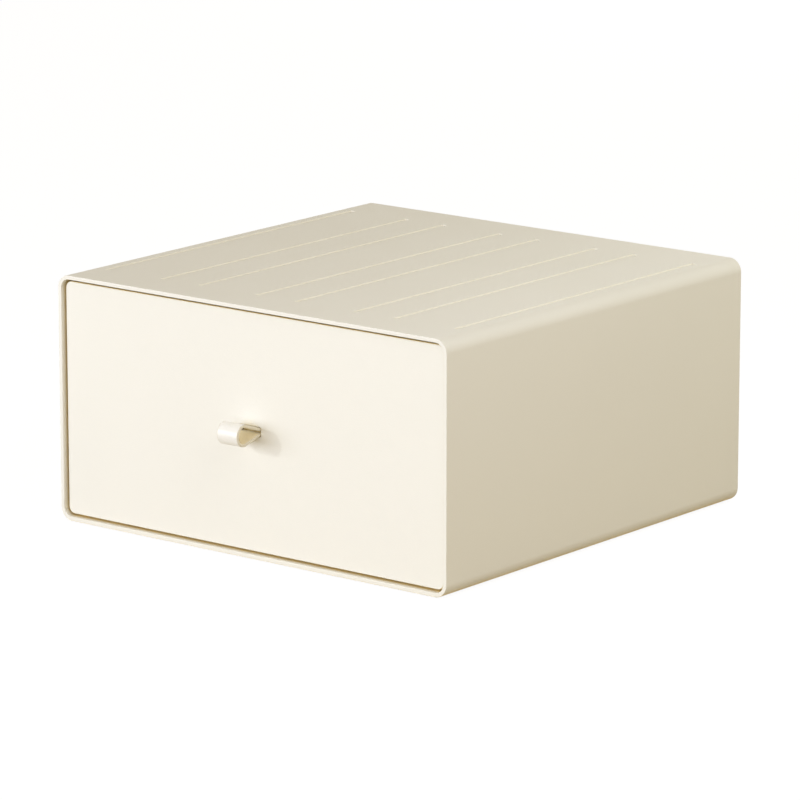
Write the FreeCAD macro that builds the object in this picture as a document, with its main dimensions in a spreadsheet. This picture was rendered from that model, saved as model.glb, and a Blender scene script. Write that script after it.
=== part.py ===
import FreeCAD, Part
import os

import Sketcher

# Stackable drawer box: a moulded sleeve that is open at both ends, a drawer that slides out of its front,
# and a panel that snaps into its back. Millimetres, +Z up, the drawer opens towards -Y.
# Each piece is drawn with Y counted back from the sleeve's front rim and Z up from the sleeve's underside.
# One placement then moves them all, so that the origin is the middle of the footprint, strap included.

SIZES = [
    # The sleeve
    ("case_width", 320),
    ("case_depth", 315),
    ("case_height", 164),
    ("case_wall", 2.7),
    ("case_corner_radius", 9),
    ("case_rim_round", 0.5),
    # The grooves in its top, in pairs along the edges of wide bands, and the ribs below that drop into them
    ("band_side_inset", 16),
    ("band_width", 48),
    ("groove_width", 4),
    ("groove_depth", 1),
    ("groove_corner_radius", 1),
    ("groove_front_inset", 30),
    ("groove_back_inset", 31),
    ("stack_rib_height", 0.8),
    ("stack_rib_clearance", 0.5),
    # The stops that hang from the sleeve's ceiling behind the drawer front
    ("stop_setback", 13),
    ("stop_length", 6),
    ("stop_width", 7),
    ("stop_rim_gap", 4.2),
    # The two guide strips
    ("runner_setback", 10),
    ("runner_recess", 0.5),
    ("runner_rise", 2.1),
    ("runner_width", 14),
    ("runner_guide_height", 12),
    ("runner_guide_wall", 1.5),
    ("runner_guide_gap", 0.5),
    ("runner_lead", 1),
    # The back panel and its snap bumps
    ("back_recess", 1.5),
    ("back_wall", 2.5),
    ("back_rebate", 1),
    ("back_clearance", 0.2),
    ("skirt_depth", 6),
    ("skirt_wall", 1.5),
    ("snap_spacing", 160),
    ("snap_width", 16),
    ("snap_length", 2),
    ("snap_height", 0.5),
    ("snap_clearance", 0.2),
    ("bumper_spacing", 75),
    ("bumper_wall", 2),
    ("bumper_depth", 4),
    # The drawer front
    ("panel_gap", 1.7),
    ("panel_recess", 2.8),
    ("panel_wall", 2.5),
    ("panel_edge_break", 0.4),
    ("panel_lip_inset", 1.2),
    ("panel_lip_wall", 1.4),
    ("panel_lip_depth", 4),
    ("panel_boss_radius", 4),
    ("panel_boss_side_inset", 23),
    ("panel_boss_low_inset", 32),
    ("panel_boss_top_inset", 24),
    # The tray
    ("tray_standoff", 8),
    ("tray_side_gap", 9.3),
    ("tray_wall", 2.2),
    ("tray_headroom", 10.2),
    ("tray_draft", 1.3),
    ("tray_corner_radius", 9),
    ("tray_floor_round", 3),
    ("tray_slide_gap", 0.3),
    ("tray_closed_gap", 0.3),
    ("rim_bead", 1.2),
    ("rim_bead_height", 4),
    ("catch_setback", 42),
    ("catch_length", 10),
    ("catch_top_gap", 2.2),
    # The strap and its slot
    ("strap_width", 17),
    ("strap_thickness", 1.9),
    ("strap_reach", 20),
    ("strap_lift", 1),
    ("strap_neck", 5.4),
    ("strap_nose_radius", 7.2),
    ("strap_nose_lift", 0.5),
    ("strap_tab", 8),
    ("slot_side_gap", 0.5),
    ("slot_end_gap", 0.6),
    ("slot_corner_radius", 1),
    # The plate that clamps the strap's ends
    ("retainer_width", 46),
    ("retainer_height", 26),
    ("retainer_wall", 2.5),
    ("retainer_corner_radius", 4),
    ("retainer_boss_spacing", 32),
    ("retainer_boss_radius", 2.75),
    ("retainer_boss_gap", 0.25),
    ("retainer_seat_gap", 0.2),
    # The screws
    ("panel_screw_radius", 1.5),
    ("panel_screw_head_radius", 3.2),
    ("panel_screw_head_height", 1.8),
    ("panel_screw_grip", 6),
    ("retainer_screw_radius", 1.1),
    ("retainer_screw_head_radius", 4),
    ("retainer_screw_head_height", 1.6),
    ("retainer_screw_grip", 4),
    ("screw_hole_gap", 0.2),
    ("screw_thread_gap", 0.05),
    ("screw_tip_gap", 0.6),
    ("drive_arm", 1.8),
    ("drive_wall", 0.7),
    ("drive_depth", 1),
    # How far a cut runs past what it cuts
    ("overrun", 1),
]
BANDS = 4
BUMPERS = 3

doc = FreeCAD.newDocument("drawer_box")
sheet = doc.addObject("Spreadsheet::Sheet", "Sizes")
for row, (alias, millimetres) in enumerate(SIZES, start=1):
    sheet.set(f"A{row}", alias)
    sheet.set(f"B{row}", str(millimetres))
    sheet.setAlias(f"B{row}", alias)
doc.recompute()

# Places that several pieces share, each worked out from the sizes above
HALF_WIDTH = "Sizes.case_width / 2"
INNER_HALF = "(Sizes.case_width / 2 - Sizes.case_wall)"
CEILING = "(Sizes.case_height - Sizes.case_wall)"
INNER_RADIUS = "(Sizes.case_corner_radius - Sizes.case_wall)"
BAND_SPACING = f"((Sizes.case_width - 2 * Sizes.band_side_inset - Sizes.band_width) / ({BANDS} - 1))"

BACK_OUTER = "(Sizes.case_depth - Sizes.back_recess)"
BACK_INNER = f"({BACK_OUTER} - Sizes.back_wall)"
SKIRT_FRONT = f"({BACK_INNER} - Sizes.skirt_depth)"
SNAP_MIDDLE = f"({BACK_INNER} - Sizes.skirt_depth / 2)"

PANEL_HALF = f"({INNER_HALF} - Sizes.panel_gap)"
PANEL_LOW = "(Sizes.case_wall + Sizes.panel_gap)"
PANEL_TOP = f"({CEILING} - Sizes.panel_gap)"
PANEL_RADIUS = f"({INNER_RADIUS} - Sizes.panel_gap)"
PANEL_BACK = "(Sizes.panel_recess + Sizes.panel_wall)"

TRAY_FRONT = f"({PANEL_BACK} + Sizes.tray_standoff)"
TRAY_BACK = f"({BACK_INNER} - Sizes.bumper_depth - Sizes.tray_closed_gap - Sizes.rim_bead)"
TRAY_HALF = f"({INNER_HALF} - Sizes.tray_side_gap)"
TRAY_LOW = "(Sizes.case_wall + Sizes.runner_rise + Sizes.tray_slide_gap)"
TRAY_TOP = f"({CEILING} - Sizes.tray_headroom)"
TRAY_HEIGHT = f"({TRAY_TOP} - {TRAY_LOW})"
TRAY_TOP_HALF = f"({TRAY_HALF} + Sizes.tray_draft)"

BOSS_HALF = f"({TRAY_HALF} - Sizes.panel_boss_side_inset)"
BOSS_LOW = f"({TRAY_LOW} + Sizes.panel_boss_low_inset)"
BOSS_TOP = f"({TRAY_TOP} - Sizes.panel_boss_top_inset)"
STRAP_MIDDLE = "(Sizes.case_height / 2 + Sizes.strap_lift)"
CLAMP_FRONT = f"({PANEL_BACK} + Sizes.strap_thickness)"
CLAMP_BACK = f"({CLAMP_FRONT} + Sizes.retainer_wall)"
CLAMP_HALF = "Sizes.retainer_boss_spacing / 2"

SHIFT_Y = "-(Sizes.case_depth - Sizes.strap_reach) / 2"
SHIFT_Z = "Sizes.stack_rib_height"


def number(expression):
    """The value of an expression on the sheet's sizes."""
    return float(sheet.evalExpression(expression))


def new_body(label):
    """An empty body that the shared placement moves."""
    body = doc.addObject("PartDesign::Body", label)
    body.Label = label
    body.AllowCompound = True
    body.setExpression("Placement.Base.y", SHIFT_Y)
    body.setExpression("Placement.Base.z", SHIFT_Z)
    return body


def sketch_on(body, name, role, distance="0"):
    """A sketch on one of the body's own planes, moved to a distance along +X, +Y or +Z."""
    plane = next(feature for feature in body.Origin.OriginFeatures if feature.Role == role)
    sketch = body.newObject("Sketcher::SketchObject", f"{body.Label}_{name}")
    sketch.AttachmentSupport = [(plane, "")]
    sketch.MapMode = "FlatFace"
    sign = "-" if role == "XZ_Plane" else ""
    sketch.setExpression("AttachmentOffset.Base.z", f"{sign}({distance})")
    return sketch


def constrain(sketch, kind, *place):
    """Adds a constraint that holds no size."""
    sketch.addConstraint(Sketcher.Constraint(kind, *place))


def bind(sketch, kind, *place):
    """Adds a constraint whose size is the expression given last."""
    *geometry, expression = place
    index = sketch.addConstraint(Sketcher.Constraint(kind, *geometry, number(expression)))
    sketch.setExpression(f"Constraints[{index}]", expression)


def bind_point(sketch, geometry, point, across, up):
    """Ties a point of the sketch to two expressions, counted from the origin."""
    bind(sketch, "DistanceX", -1, 1, geometry, point, across)
    bind(sketch, "DistanceY", -1, 1, geometry, point, up)


def vector(across, up):
    """A point in a sketch's own plane."""
    return FreeCAD.Vector(across, up, 0)


def outline(sketch, corners):
    """A closed outline of straight lines, each corner given as two expressions."""
    points = [vector(number(across), number(up)) for across, up in corners]
    lines = []
    for start, end in zip(points, points[1:] + points[:1]):
        lines.append(sketch.addGeometry(Part.LineSegment(start, end)))
    for line, following in zip(lines, lines[1:] + lines[:1]):
        constrain(sketch, "Coincident", line, 2, following, 1)
    for line, (across, up) in zip(lines, corners):
        bind_point(sketch, line, 1, across, up)


def rectangle(sketch, left, right, low, top):
    """A closed rectangle with square corners."""
    outline(sketch, [(left, low), (right, low), (right, top), (left, top)])


def rounded_rectangle(sketch, left, right, low, top, radius):
    """A closed rectangle whose four corners have one radius."""
    x0, x1, y0, y1, r = (number(value) for value in (left, right, low, top, radius))
    sides = [((x0 + r, y0), (x1 - r, y0)), ((x1, y0 + r), (x1, y1 - r)),
             ((x1 - r, y1), (x0 + r, y1)), ((x0, y1 - r), (x0, y0 + r))]
    centres = [(x1 - r, y0 + r), (x1 - r, y1 - r), (x0 + r, y1 - r), (x0 + r, y0 + r)]
    quarter = FreeCAD.Units.parseQuantity("90 deg").getValueAs("rad").Value
    lines = []
    arcs = []
    for turn, ((start, end), centre) in enumerate(zip(sides, centres)):
        lines.append(sketch.addGeometry(Part.LineSegment(vector(*start), vector(*end))))
        circle = Part.Circle(vector(*centre), FreeCAD.Vector(0, 0, 1), r)
        first = (turn - 1) * quarter
        arcs.append(sketch.addGeometry(Part.ArcOfCircle(circle, first, first + quarter)))
    for line, arc, following in zip(lines, arcs, lines[1:] + lines[:1]):
        constrain(sketch, "Tangent", line, 2, arc, 1)
        constrain(sketch, "Tangent", arc, 2, following, 1)
    for line, kind in zip(lines, ("Horizontal", "Vertical", "Horizontal", "Vertical")):
        constrain(sketch, kind, line)
    bind(sketch, "DistanceY", -1, 1, lines[0], 1, low)
    bind(sketch, "DistanceX", -1, 1, lines[1], 1, right)
    bind(sketch, "DistanceY", -1, 1, lines[2], 1, top)
    bind(sketch, "DistanceX", -1, 1, lines[3], 1, left)
    for arc in arcs[1:]:
        constrain(sketch, "Equal", arcs[0], arc)
    bind(sketch, "Radius", arcs[0], radius)


def inset_rectangle(sketch, left, right, low, top, radius, inset):
    """The same rounded rectangle, drawn in from every side."""
    rounded_rectangle(sketch, f"{left} + {inset}", f"{right} - ({inset})", f"{low} + {inset}",
                      f"{top} - ({inset})", f"{radius} - ({inset})")


def circle(sketch, across, up, radius):
    """A circle at a place given as two expressions."""
    middle = vector(number(across), number(up))
    added = sketch.addGeometry(Part.Circle(middle, FreeCAD.Vector(0, 0, 1), number(radius)))
    bind_point(sketch, added, 3, across, up)
    bind(sketch, "Radius", added, radius)


def pad(body, sketch, length, reverse=False):
    """Adds material on a sketch; reverse turns it to the other side of the sketch's plane."""
    feature = body.newObject("PartDesign::Pad", f"{sketch.Name}_pad")
    feature.Profile = sketch
    feature.Reversed = reverse
    feature.setExpression("Length", length)
    grown = body_volume(body)
    doc.recompute()
    if body_volume(body) <= grown:
        raise RuntimeError(f"{feature.Name} adds nothing")
    return feature


def pocket(body, sketch, depth, reverse=False):
    """Cuts a sketch out of the body, and makes sure that the cut meets material."""
    feature = body.newObject("PartDesign::Pocket", f"{sketch.Name}_pocket")
    feature.Profile = sketch
    feature.Reversed = reverse
    feature.setExpression("Length", depth)
    before = body_volume(body)
    doc.recompute()
    if body_volume(body) >= before:
        raise RuntimeError(f"{feature.Name} cuts nothing")
    return feature


def body_volume(body):
    """The body's volume so far."""
    return 0.0 if body.Shape.isNull() else body.Shape.Volume


def repeat(body, feature, sketch, axis, spacing, count):
    """Repeats a feature along one of its sketch's own axes."""
    pattern = body.newObject("PartDesign::LinearPattern", f"{feature.Name}_row")
    pattern.Originals = [feature]
    pattern.Direction = (sketch, [axis])
    pattern.Mode = "Spacing"
    pattern.setExpression("Offset", spacing)
    pattern.Occurrences = count
    body.Tip = pattern
    doc.recompute()
    return pattern


def dress(body, kind, name, size, expression, chosen):
    """Adds a Fillet or Chamfer on the edges of the body's last feature that a test chooses."""
    doc.recompute()
    base = body.Tip
    edges = [f"Edge{at}" for at, edge in enumerate(base.Shape.Edges, start=1) if chosen(edge)]
    feature = body.newObject(f"PartDesign::{kind}", f"{body.Label}_{name}")
    feature.Base = (base, edges)
    feature.setExpression(size, expression)
    doc.recompute()
    return feature


def round_edges(body, name, radius, chosen):
    """Rounds the edges that a test chooses."""
    return dress(body, "Fillet", name, "Radius", radius, chosen)


def lies_at(axis, expression):
    """A test for edges that lie in one plane across an axis."""
    place = number(expression)

    def test(edge):
        box = edge.BoundBox
        low, high = {"y": (box.YMin, box.YMax), "z": (box.ZMin, box.ZMax)}[axis]
        return abs(low - place) < Part.Precision.confusion() * 1000 > abs(high - place)

    return test


def pair(place):
    """An expression's mirror image and itself, for what stands on both sides of the middle."""
    return [f"-({place})", f"({place})"]


def case_sleeve():
    """The outer casing: tube, grooves, stacking ribs, runner recesses, stops and the back panel's seat."""
    body = new_body("case_sleeve")
    walls = (f"-{HALF_WIDTH}", HALF_WIDTH, "0", "Sizes.case_height", "Sizes.case_corner_radius")
    tube = sketch_on(body, "tube", "XZ_Plane")
    rounded_rectangle(tube, *walls)
    inset_rectangle(tube, *walls, "Sizes.case_wall")
    pad(body, tube, "Sizes.case_depth", reverse=True)

    seat = sketch_on(body, "seat", "XZ_Plane", BACK_INNER)
    inset_rectangle(seat, *walls, "(Sizes.case_wall - Sizes.back_rebate)")
    pocket(body, seat, "Sizes.back_recess + Sizes.back_wall + Sizes.overrun")

    round_edges(body, "rim", "Sizes.case_rim_round", lies_at("y", "0"))

    first = f"(Sizes.band_side_inset - {HALF_WIDTH})"
    second = f"({first} + Sizes.band_width)"
    front = "Sizes.groove_front_inset"
    back = "(Sizes.case_depth - Sizes.groove_back_inset)"
    half_groove = "Sizes.groove_width / 2"
    grooves = sketch_on(body, "grooves", "XY_Plane", "Sizes.case_height")
    ribs = sketch_on(body, "ribs", "XY_Plane")
    for across in (first, second):
        walls = (f"({across} - {half_groove})", f"({across} + {half_groove})", front, back,
                 "Sizes.groove_corner_radius")
        rounded_rectangle(grooves, *walls)
        inset_rectangle(ribs, *walls, "Sizes.stack_rib_clearance")
    groove = pocket(body, grooves, "Sizes.groove_depth")
    repeat(body, groove, grooves, "H_Axis", BAND_SPACING, BANDS)
    rib = pad(body, ribs, "Sizes.stack_rib_height", reverse=True)
    repeat(body, rib, ribs, "H_Axis", BAND_SPACING, BANDS)

    recesses = sketch_on(body, "recesses", "XY_Plane", "Sizes.case_wall")
    stops = sketch_on(body, "stops", "XY_Plane", CEILING)
    for side in ("-", "+"):
        inner, outer = runner_span(side)
        rectangle(recesses, inner, outer, "Sizes.runner_setback", SKIRT_FRONT)
        middle = f"0 {side} ({TRAY_TOP_HALF} - Sizes.tray_wall / 2)"
        rectangle(stops, f"{middle} - Sizes.stop_width / 2", f"{middle} + Sizes.stop_width / 2",
                  "Sizes.stop_setback", "Sizes.stop_setback + Sizes.stop_length")
    pocket(body, recesses, "Sizes.runner_recess")
    pad(body, stops, "Sizes.tray_headroom - Sizes.stop_rim_gap", reverse=True)

    for name, level, upwards in (("snap_top", CEILING, True), ("snap_floor", "Sizes.case_wall", False)):
        dimples = sketch_on(body, name, "XY_Plane", level)
        snap_pads(dimples, "Sizes.snap_clearance")
        pocket(body, dimples, "Sizes.snap_height + Sizes.snap_clearance", reverse=upwards)
    return body


def snap_pads(sketch, grow):
    """The plan of one row of snap bumps, or of the dimples that are larger by a clearance."""
    half_width = f"(Sizes.snap_width / 2 + {grow})"
    half_length = f"(Sizes.snap_length / 2 + {grow})"
    for across in pair("Sizes.snap_spacing / 2"):
        rectangle(sketch, f"{across} - {half_width}", f"{across} + {half_width}",
                  f"{SNAP_MIDDLE} - {half_length}", f"{SNAP_MIDDLE} + {half_length}")


def back_panel():
    """The rear panel: a plate in the sleeve's rebate, a skirt with snap bumps, and the drawer's bumpers."""
    body = new_body("back_panel")
    inside = (f"-{INNER_HALF}", INNER_HALF, "Sizes.case_wall", CEILING, INNER_RADIUS)
    plate = sketch_on(body, "plate", "XZ_Plane", BACK_INNER)
    inset_rectangle(plate, *inside, "(Sizes.back_clearance - Sizes.back_rebate)")
    pad(body, plate, "Sizes.back_wall", reverse=True)

    skirt = sketch_on(body, "skirt", "XZ_Plane", BACK_INNER)
    inset_rectangle(skirt, *inside, "Sizes.back_clearance")
    inset_rectangle(skirt, *inside, "(Sizes.back_clearance + Sizes.skirt_wall)")
    pad(body, skirt, "Sizes.skirt_depth")

    skirt_low = "(Sizes.case_wall + Sizes.back_clearance + Sizes.skirt_wall)"
    skirt_top = f"({CEILING} - Sizes.back_clearance - Sizes.skirt_wall)"
    bumpers = sketch_on(body, "bumpers", "XZ_Plane", BACK_INNER)
    first = f"-({BUMPERS} - 1) / 2 * Sizes.bumper_spacing"
    rectangle(bumpers, f"{first} - Sizes.bumper_wall / 2", f"{first} + Sizes.bumper_wall / 2",
              skirt_low, skirt_top)
    bumper = pad(body, bumpers, "Sizes.bumper_depth")
    repeat(body, bumper, bumpers, "H_Axis", "Sizes.bumper_spacing", BUMPERS)

    bump = "Sizes.back_clearance + Sizes.snap_height"
    for name, level, down in (("snap_top", f"{CEILING} - Sizes.back_clearance", False),
                              ("snap_floor", "Sizes.case_wall + Sizes.back_clearance", True)):
        bumps = sketch_on(body, name, "XY_Plane", level)
        snap_pads(bumps, "0")
        pad(body, bumps, bump, reverse=down)
    return body


def runner_span(side):
    """The two sides of a guide strip's base, the lower value first."""
    guide_outer = f"({TRAY_HALF} + Sizes.runner_guide_gap + Sizes.runner_guide_wall)"
    far = f"0 {side} {guide_outer}"
    near = f"0 {side} ({guide_outer} - Sizes.runner_width)"
    return (far, near) if side == "-" else (near, far)


def runner(label, side):
    """A guide strip: a flat base that carries the tray, and an upright that keeps it central."""
    body = new_body(label)
    base_low = "(Sizes.case_wall - Sizes.runner_recess)"
    base_top = "(Sizes.case_wall + Sizes.runner_rise)"
    outer = f"({TRAY_HALF} + Sizes.runner_guide_gap + Sizes.runner_guide_wall)"
    inner = f"({outer} - Sizes.runner_width)"
    guide = f"({TRAY_HALF} + Sizes.runner_guide_gap)"
    guide_top = "(Sizes.case_wall + Sizes.runner_guide_height)"
    corners = [(inner, base_low), (outer, base_low), (outer, guide_top), (guide, guide_top),
               (guide, base_top), (inner, base_top)]
    section = sketch_on(body, "section", "XZ_Plane", "Sizes.runner_setback")
    outline(section, [(f"0 {side} {across}", up) for across, up in corners])
    pad(body, section, f"{SKIRT_FRONT} - Sizes.runner_setback", reverse=True)
    dress(body, "Chamfer", "lead", "Size", "Sizes.runner_lead",
          lambda edge: lies_at("y", "Sizes.runner_setback")(edge) and lies_at("z", base_top)(edge))
    return body


def front_panel():
    """The drawer front: plate, stiffening lip, bosses for the tray and the clamp, and the strap's slot."""
    body = new_body("front_panel")
    edges = (f"-{PANEL_HALF}", PANEL_HALF, PANEL_LOW, PANEL_TOP, PANEL_RADIUS)
    plate = sketch_on(body, "plate", "XZ_Plane", "Sizes.panel_recess")
    rounded_rectangle(plate, *edges)
    pad(body, plate, "Sizes.panel_wall", reverse=True)
    dress(body, "Chamfer", "edge", "Size", "Sizes.panel_edge_break", lies_at("y", "Sizes.panel_recess"))

    lip = sketch_on(body, "lip", "XZ_Plane", PANEL_BACK)
    inset_rectangle(lip, *edges, "Sizes.panel_lip_inset")
    inset_rectangle(lip, *edges, "(Sizes.panel_lip_inset + Sizes.panel_lip_wall)")
    pad(body, lip, "Sizes.panel_lip_depth", reverse=True)

    bosses = sketch_on(body, "bosses", "XZ_Plane", PANEL_BACK)
    boss_holes = sketch_on(body, "boss_holes", "XZ_Plane", TRAY_FRONT)
    for across in pair(BOSS_HALF):
        for up in (BOSS_LOW, BOSS_TOP):
            circle(bosses, across, up, "Sizes.panel_boss_radius")
            circle(boss_holes, across, up, "Sizes.panel_screw_radius + Sizes.screw_thread_gap")
    pad(body, bosses, "Sizes.tray_standoff", reverse=True)
    pocket(body, boss_holes, "Sizes.panel_screw_grip + Sizes.screw_tip_gap", reverse=True)

    posts = sketch_on(body, "posts", "XZ_Plane", PANEL_BACK)
    post_end = f"({CLAMP_BACK} - Sizes.retainer_seat_gap)"
    post_holes = sketch_on(body, "post_holes", "XZ_Plane", post_end)
    for across in pair(CLAMP_HALF):
        circle(posts, across, STRAP_MIDDLE, "Sizes.retainer_boss_radius")
        circle(post_holes, across, STRAP_MIDDLE, "Sizes.retainer_screw_radius + Sizes.screw_thread_gap")
    pad(body, posts, f"{post_end} - {PANEL_BACK}", reverse=True)
    pocket(body, post_holes, "Sizes.retainer_screw_grip + Sizes.screw_tip_gap", reverse=True)

    opening = sketch_on(body, "slot", "XZ_Plane", PANEL_BACK)
    half = "(Sizes.strap_width / 2 + Sizes.slot_side_gap)"
    reach = "(Sizes.strap_neck / 2 + Sizes.slot_end_gap)"
    rounded_rectangle(opening, f"-{half}", half, f"{STRAP_MIDDLE} - {reach}", f"{STRAP_MIDDLE} + {reach}",
                      "Sizes.slot_corner_radius")
    pocket(body, opening, "Sizes.panel_wall + Sizes.overrun", reverse=True)
    return body


def leans(face):
    """Whether a wall of the tray's block leans out: all but the front one do."""
    normal = face.normalAt(0, 0)
    return abs(normal.z) < Part.Precision.confusion() and normal.y > -Part.Precision.confusion()


def rises(edge):
    """Whether an edge of the tray's block runs from its floor to its top."""
    return edge.BoundBox.ZLength > number(TRAY_HEIGHT) / 2


def name_of_face(shape, height):
    """The name of the flat face that lies level at a height."""
    for at, face in enumerate(shape.Faces, start=1):
        box = face.BoundBox
        if max(abs(box.ZMin - height), abs(box.ZMax - height)) < Part.Precision.confusion() * 1000:
            return f"Face{at}"
    raise RuntimeError(f"no level face at {height}")


def drawer_tray():
    """The open tub: walls that lean out a little, a beaded rim, the catches and the screw holes."""
    body = new_body("drawer_tray")
    floor_plan = sketch_on(body, "floor_plan", "XY_Plane", TRAY_LOW)
    rectangle(floor_plan, f"-{TRAY_HALF}", TRAY_HALF, TRAY_FRONT, f"{TRAY_BACK} - Sizes.tray_draft")
    pad(body, floor_plan, TRAY_HEIGHT)

    leaning = body.newObject("PartDesign::Draft", "drawer_tray_draft")
    block = leaning.BaseFeature
    moving = [f"Face{at}" for at, face in enumerate(block.Shape.Faces, start=1) if leans(face)]
    leaning.Base = (block, moving)
    leaning.Reversed = True
    leaning.NeutralPlane = (block, [name_of_face(block.Shape, number(TRAY_LOW))])
    leaning.setExpression("Angle", f"atan(Sizes.tray_draft / {TRAY_HEIGHT})")
    round_edges(body, "corners", "Sizes.tray_corner_radius", rises)
    round_edges(body, "floor_edge", "Sizes.tray_floor_round", lies_at("z", TRAY_LOW))

    shell = body.newObject("PartDesign::Thickness", "drawer_tray_shell")
    shell.Base = (shell.BaseFeature, [name_of_face(shell.BaseFeature.Shape, number(TRAY_TOP))])
    shell.Reversed = True
    shell.setExpression("Value", "Sizes.tray_wall")
    doc.recompute()

    top = (f"-{TRAY_TOP_HALF}", TRAY_TOP_HALF, TRAY_FRONT, TRAY_BACK, "Sizes.tray_corner_radius")
    bead = sketch_on(body, "bead", "XY_Plane", TRAY_TOP)
    inset_rectangle(bead, *top, "(-Sizes.rim_bead)")
    inset_rectangle(bead, *top, "Sizes.tray_wall")
    pad(body, bead, "Sizes.rim_bead_height", reverse=True)

    catches = sketch_on(body, "catches", "XY_Plane", TRAY_TOP)
    catch_back = f"({TRAY_BACK} - Sizes.catch_setback)"
    for side in ("-", "+"):
        outer = f"0 {side} {TRAY_TOP_HALF}"
        inner = f"0 {side} ({TRAY_TOP_HALF} - Sizes.tray_wall)"
        rectangle(catches, inner, outer, f"{catch_back} - Sizes.catch_length", catch_back)
    pad(body, catches, "Sizes.tray_headroom - Sizes.catch_top_gap")

    holes = sketch_on(body, "holes", "XZ_Plane", TRAY_FRONT)
    for across in pair(BOSS_HALF):
        for up in (BOSS_LOW, BOSS_TOP):
            circle(holes, across, up, "Sizes.panel_screw_radius + Sizes.screw_hole_gap")
    pocket(body, holes, "Sizes.tray_wall + Sizes.overrun")
    return body


def pull_strap():
    """The strap: a flat strip that loops out of the slot and turns up and down behind the panel."""
    body = new_body("pull_strap")
    half_neck = "(Sizes.strap_neck - Sizes.strap_thickness) / 2"
    high, low = f"({STRAP_MIDDLE} + {half_neck})", f"({STRAP_MIDDLE} - {half_neck})"
    high_end, low_end = f"({high} + Sizes.strap_tab)", f"({low} - Sizes.strap_tab)"
    behind = f"({PANEL_BACK} + Sizes.strap_thickness / 2)"
    radius = "(Sizes.strap_nose_radius - Sizes.strap_thickness / 2)"
    nose_y = "(Sizes.strap_nose_radius - Sizes.strap_reach)"
    nose_z = f"({STRAP_MIDDLE} + Sizes.strap_nose_lift)"

    route = sketch_on(body, "route", "YZ_Plane")
    mouth = "Sizes.panel_recess"
    corners = [[(behind, high_end), (behind, high), (mouth, high), (nose_y, f"{nose_z} + {radius}")],
               [(nose_y, f"{nose_z} - {radius}"), (mouth, low), (behind, low), (behind, low_end)]]
    legs = []
    for leg in corners:
        points = [vector(number(along), number(up)) for along, up in leg]
        lines = [sketch_line(route, start, end) for start, end in zip(points, points[1:])]
        for line, following in zip(lines, lines[1:]):
            constrain(route, "Coincident", line, 2, following, 1)
        legs.append(lines)
    (tab_up, neck_up, leg_out), (leg_back, neck_down, tab_down) = legs
    front = vector(number(nose_y) - number(radius), number(nose_z))
    ends = [vector(number(along), number(up)) for along, up in (corners[0][-1], corners[1][0])]
    nose = route.addGeometry(Part.Arc(ends[0], front, ends[1]))
    constrain(route, "Tangent", leg_out, 2, nose, 1)
    constrain(route, "Tangent", nose, 2, leg_back, 1)
    for upright in (tab_up, tab_down):
        constrain(route, "Vertical", upright)
    for level in (neck_up, neck_down):
        constrain(route, "Horizontal", level)
    bind_point(route, tab_up, 1, behind, high_end)
    bind_point(route, leg_out, 1, mouth, high)
    bind_point(route, leg_back, 2, mouth, low)
    bind_point(route, tab_down, 2, behind, low_end)
    bind_point(route, nose, 3, nose_y, nose_z)
    bind(route, "Radius", nose, radius)

    section = sketch_on(body, "section", "XY_Plane", high_end)
    rectangle(section, "-Sizes.strap_width / 2", "Sizes.strap_width / 2", PANEL_BACK, CLAMP_FRONT)
    strip = body.newObject("PartDesign::AdditivePipe", "pull_strap_strip")
    strip.Profile = section
    strip.Spine = route
    strip.Transition = "Right corner"
    doc.recompute()
    return body


def sketch_line(sketch, start, end):
    """A straight line between two points of the sketch."""
    return sketch.addGeometry(Part.LineSegment(start, end))


def strap_retainer():
    """The clamp plate: it slides over the panel's two posts and presses the strap's ends to the panel."""
    body = new_body("strap_retainer")
    plate = sketch_on(body, "plate", "XZ_Plane", CLAMP_FRONT)
    rounded_rectangle(plate, "-Sizes.retainer_width / 2", "Sizes.retainer_width / 2",
                      f"{STRAP_MIDDLE} - Sizes.retainer_height / 2",
                      f"{STRAP_MIDDLE} + Sizes.retainer_height / 2", "Sizes.retainer_corner_radius")
    for across in pair(CLAMP_HALF):
        circle(plate, across, STRAP_MIDDLE, "Sizes.retainer_boss_radius + Sizes.retainer_boss_gap")
    pad(body, plate, "Sizes.retainer_wall", reverse=True)
    return body


def screws(label, kind, places, seat, grip):
    """Screws that share one node: heads on a seat, plain shanks forward of it, and a cross drive."""
    body = new_body(label)
    head_end = f"({seat} + Sizes.{kind}_head_height)"
    shanks = sketch_on(body, "shanks", "XZ_Plane", seat)
    heads = sketch_on(body, "heads", "XZ_Plane", seat)
    drives = sketch_on(body, "drives", "XZ_Plane", head_end)
    arm, half = "Sizes.drive_arm", "Sizes.drive_wall / 2"
    cross = [("-", arm, "-", half), ("-", half, "-", half), ("-", half, "-", arm), ("+", half, "-", arm),
             ("+", half, "-", half), ("+", arm, "-", half), ("+", arm, "+", half), ("+", half, "+", half),
             ("+", half, "+", arm), ("-", half, "+", arm), ("-", half, "+", half), ("-", arm, "+", half)]
    for across, up in places:
        circle(shanks, across, up, f"Sizes.{kind}_radius")
        circle(heads, across, up, f"Sizes.{kind}_head_radius")
        outline(drives, [(f"{across} {sx} {x}", f"{up} {sy} {y}") for sx, x, sy, y in cross])
    pad(body, shanks, grip)
    pad(body, heads, f"Sizes.{kind}_head_height", reverse=True)
    pocket(body, drives, "Sizes.drive_depth", reverse=True)
    return body


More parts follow.
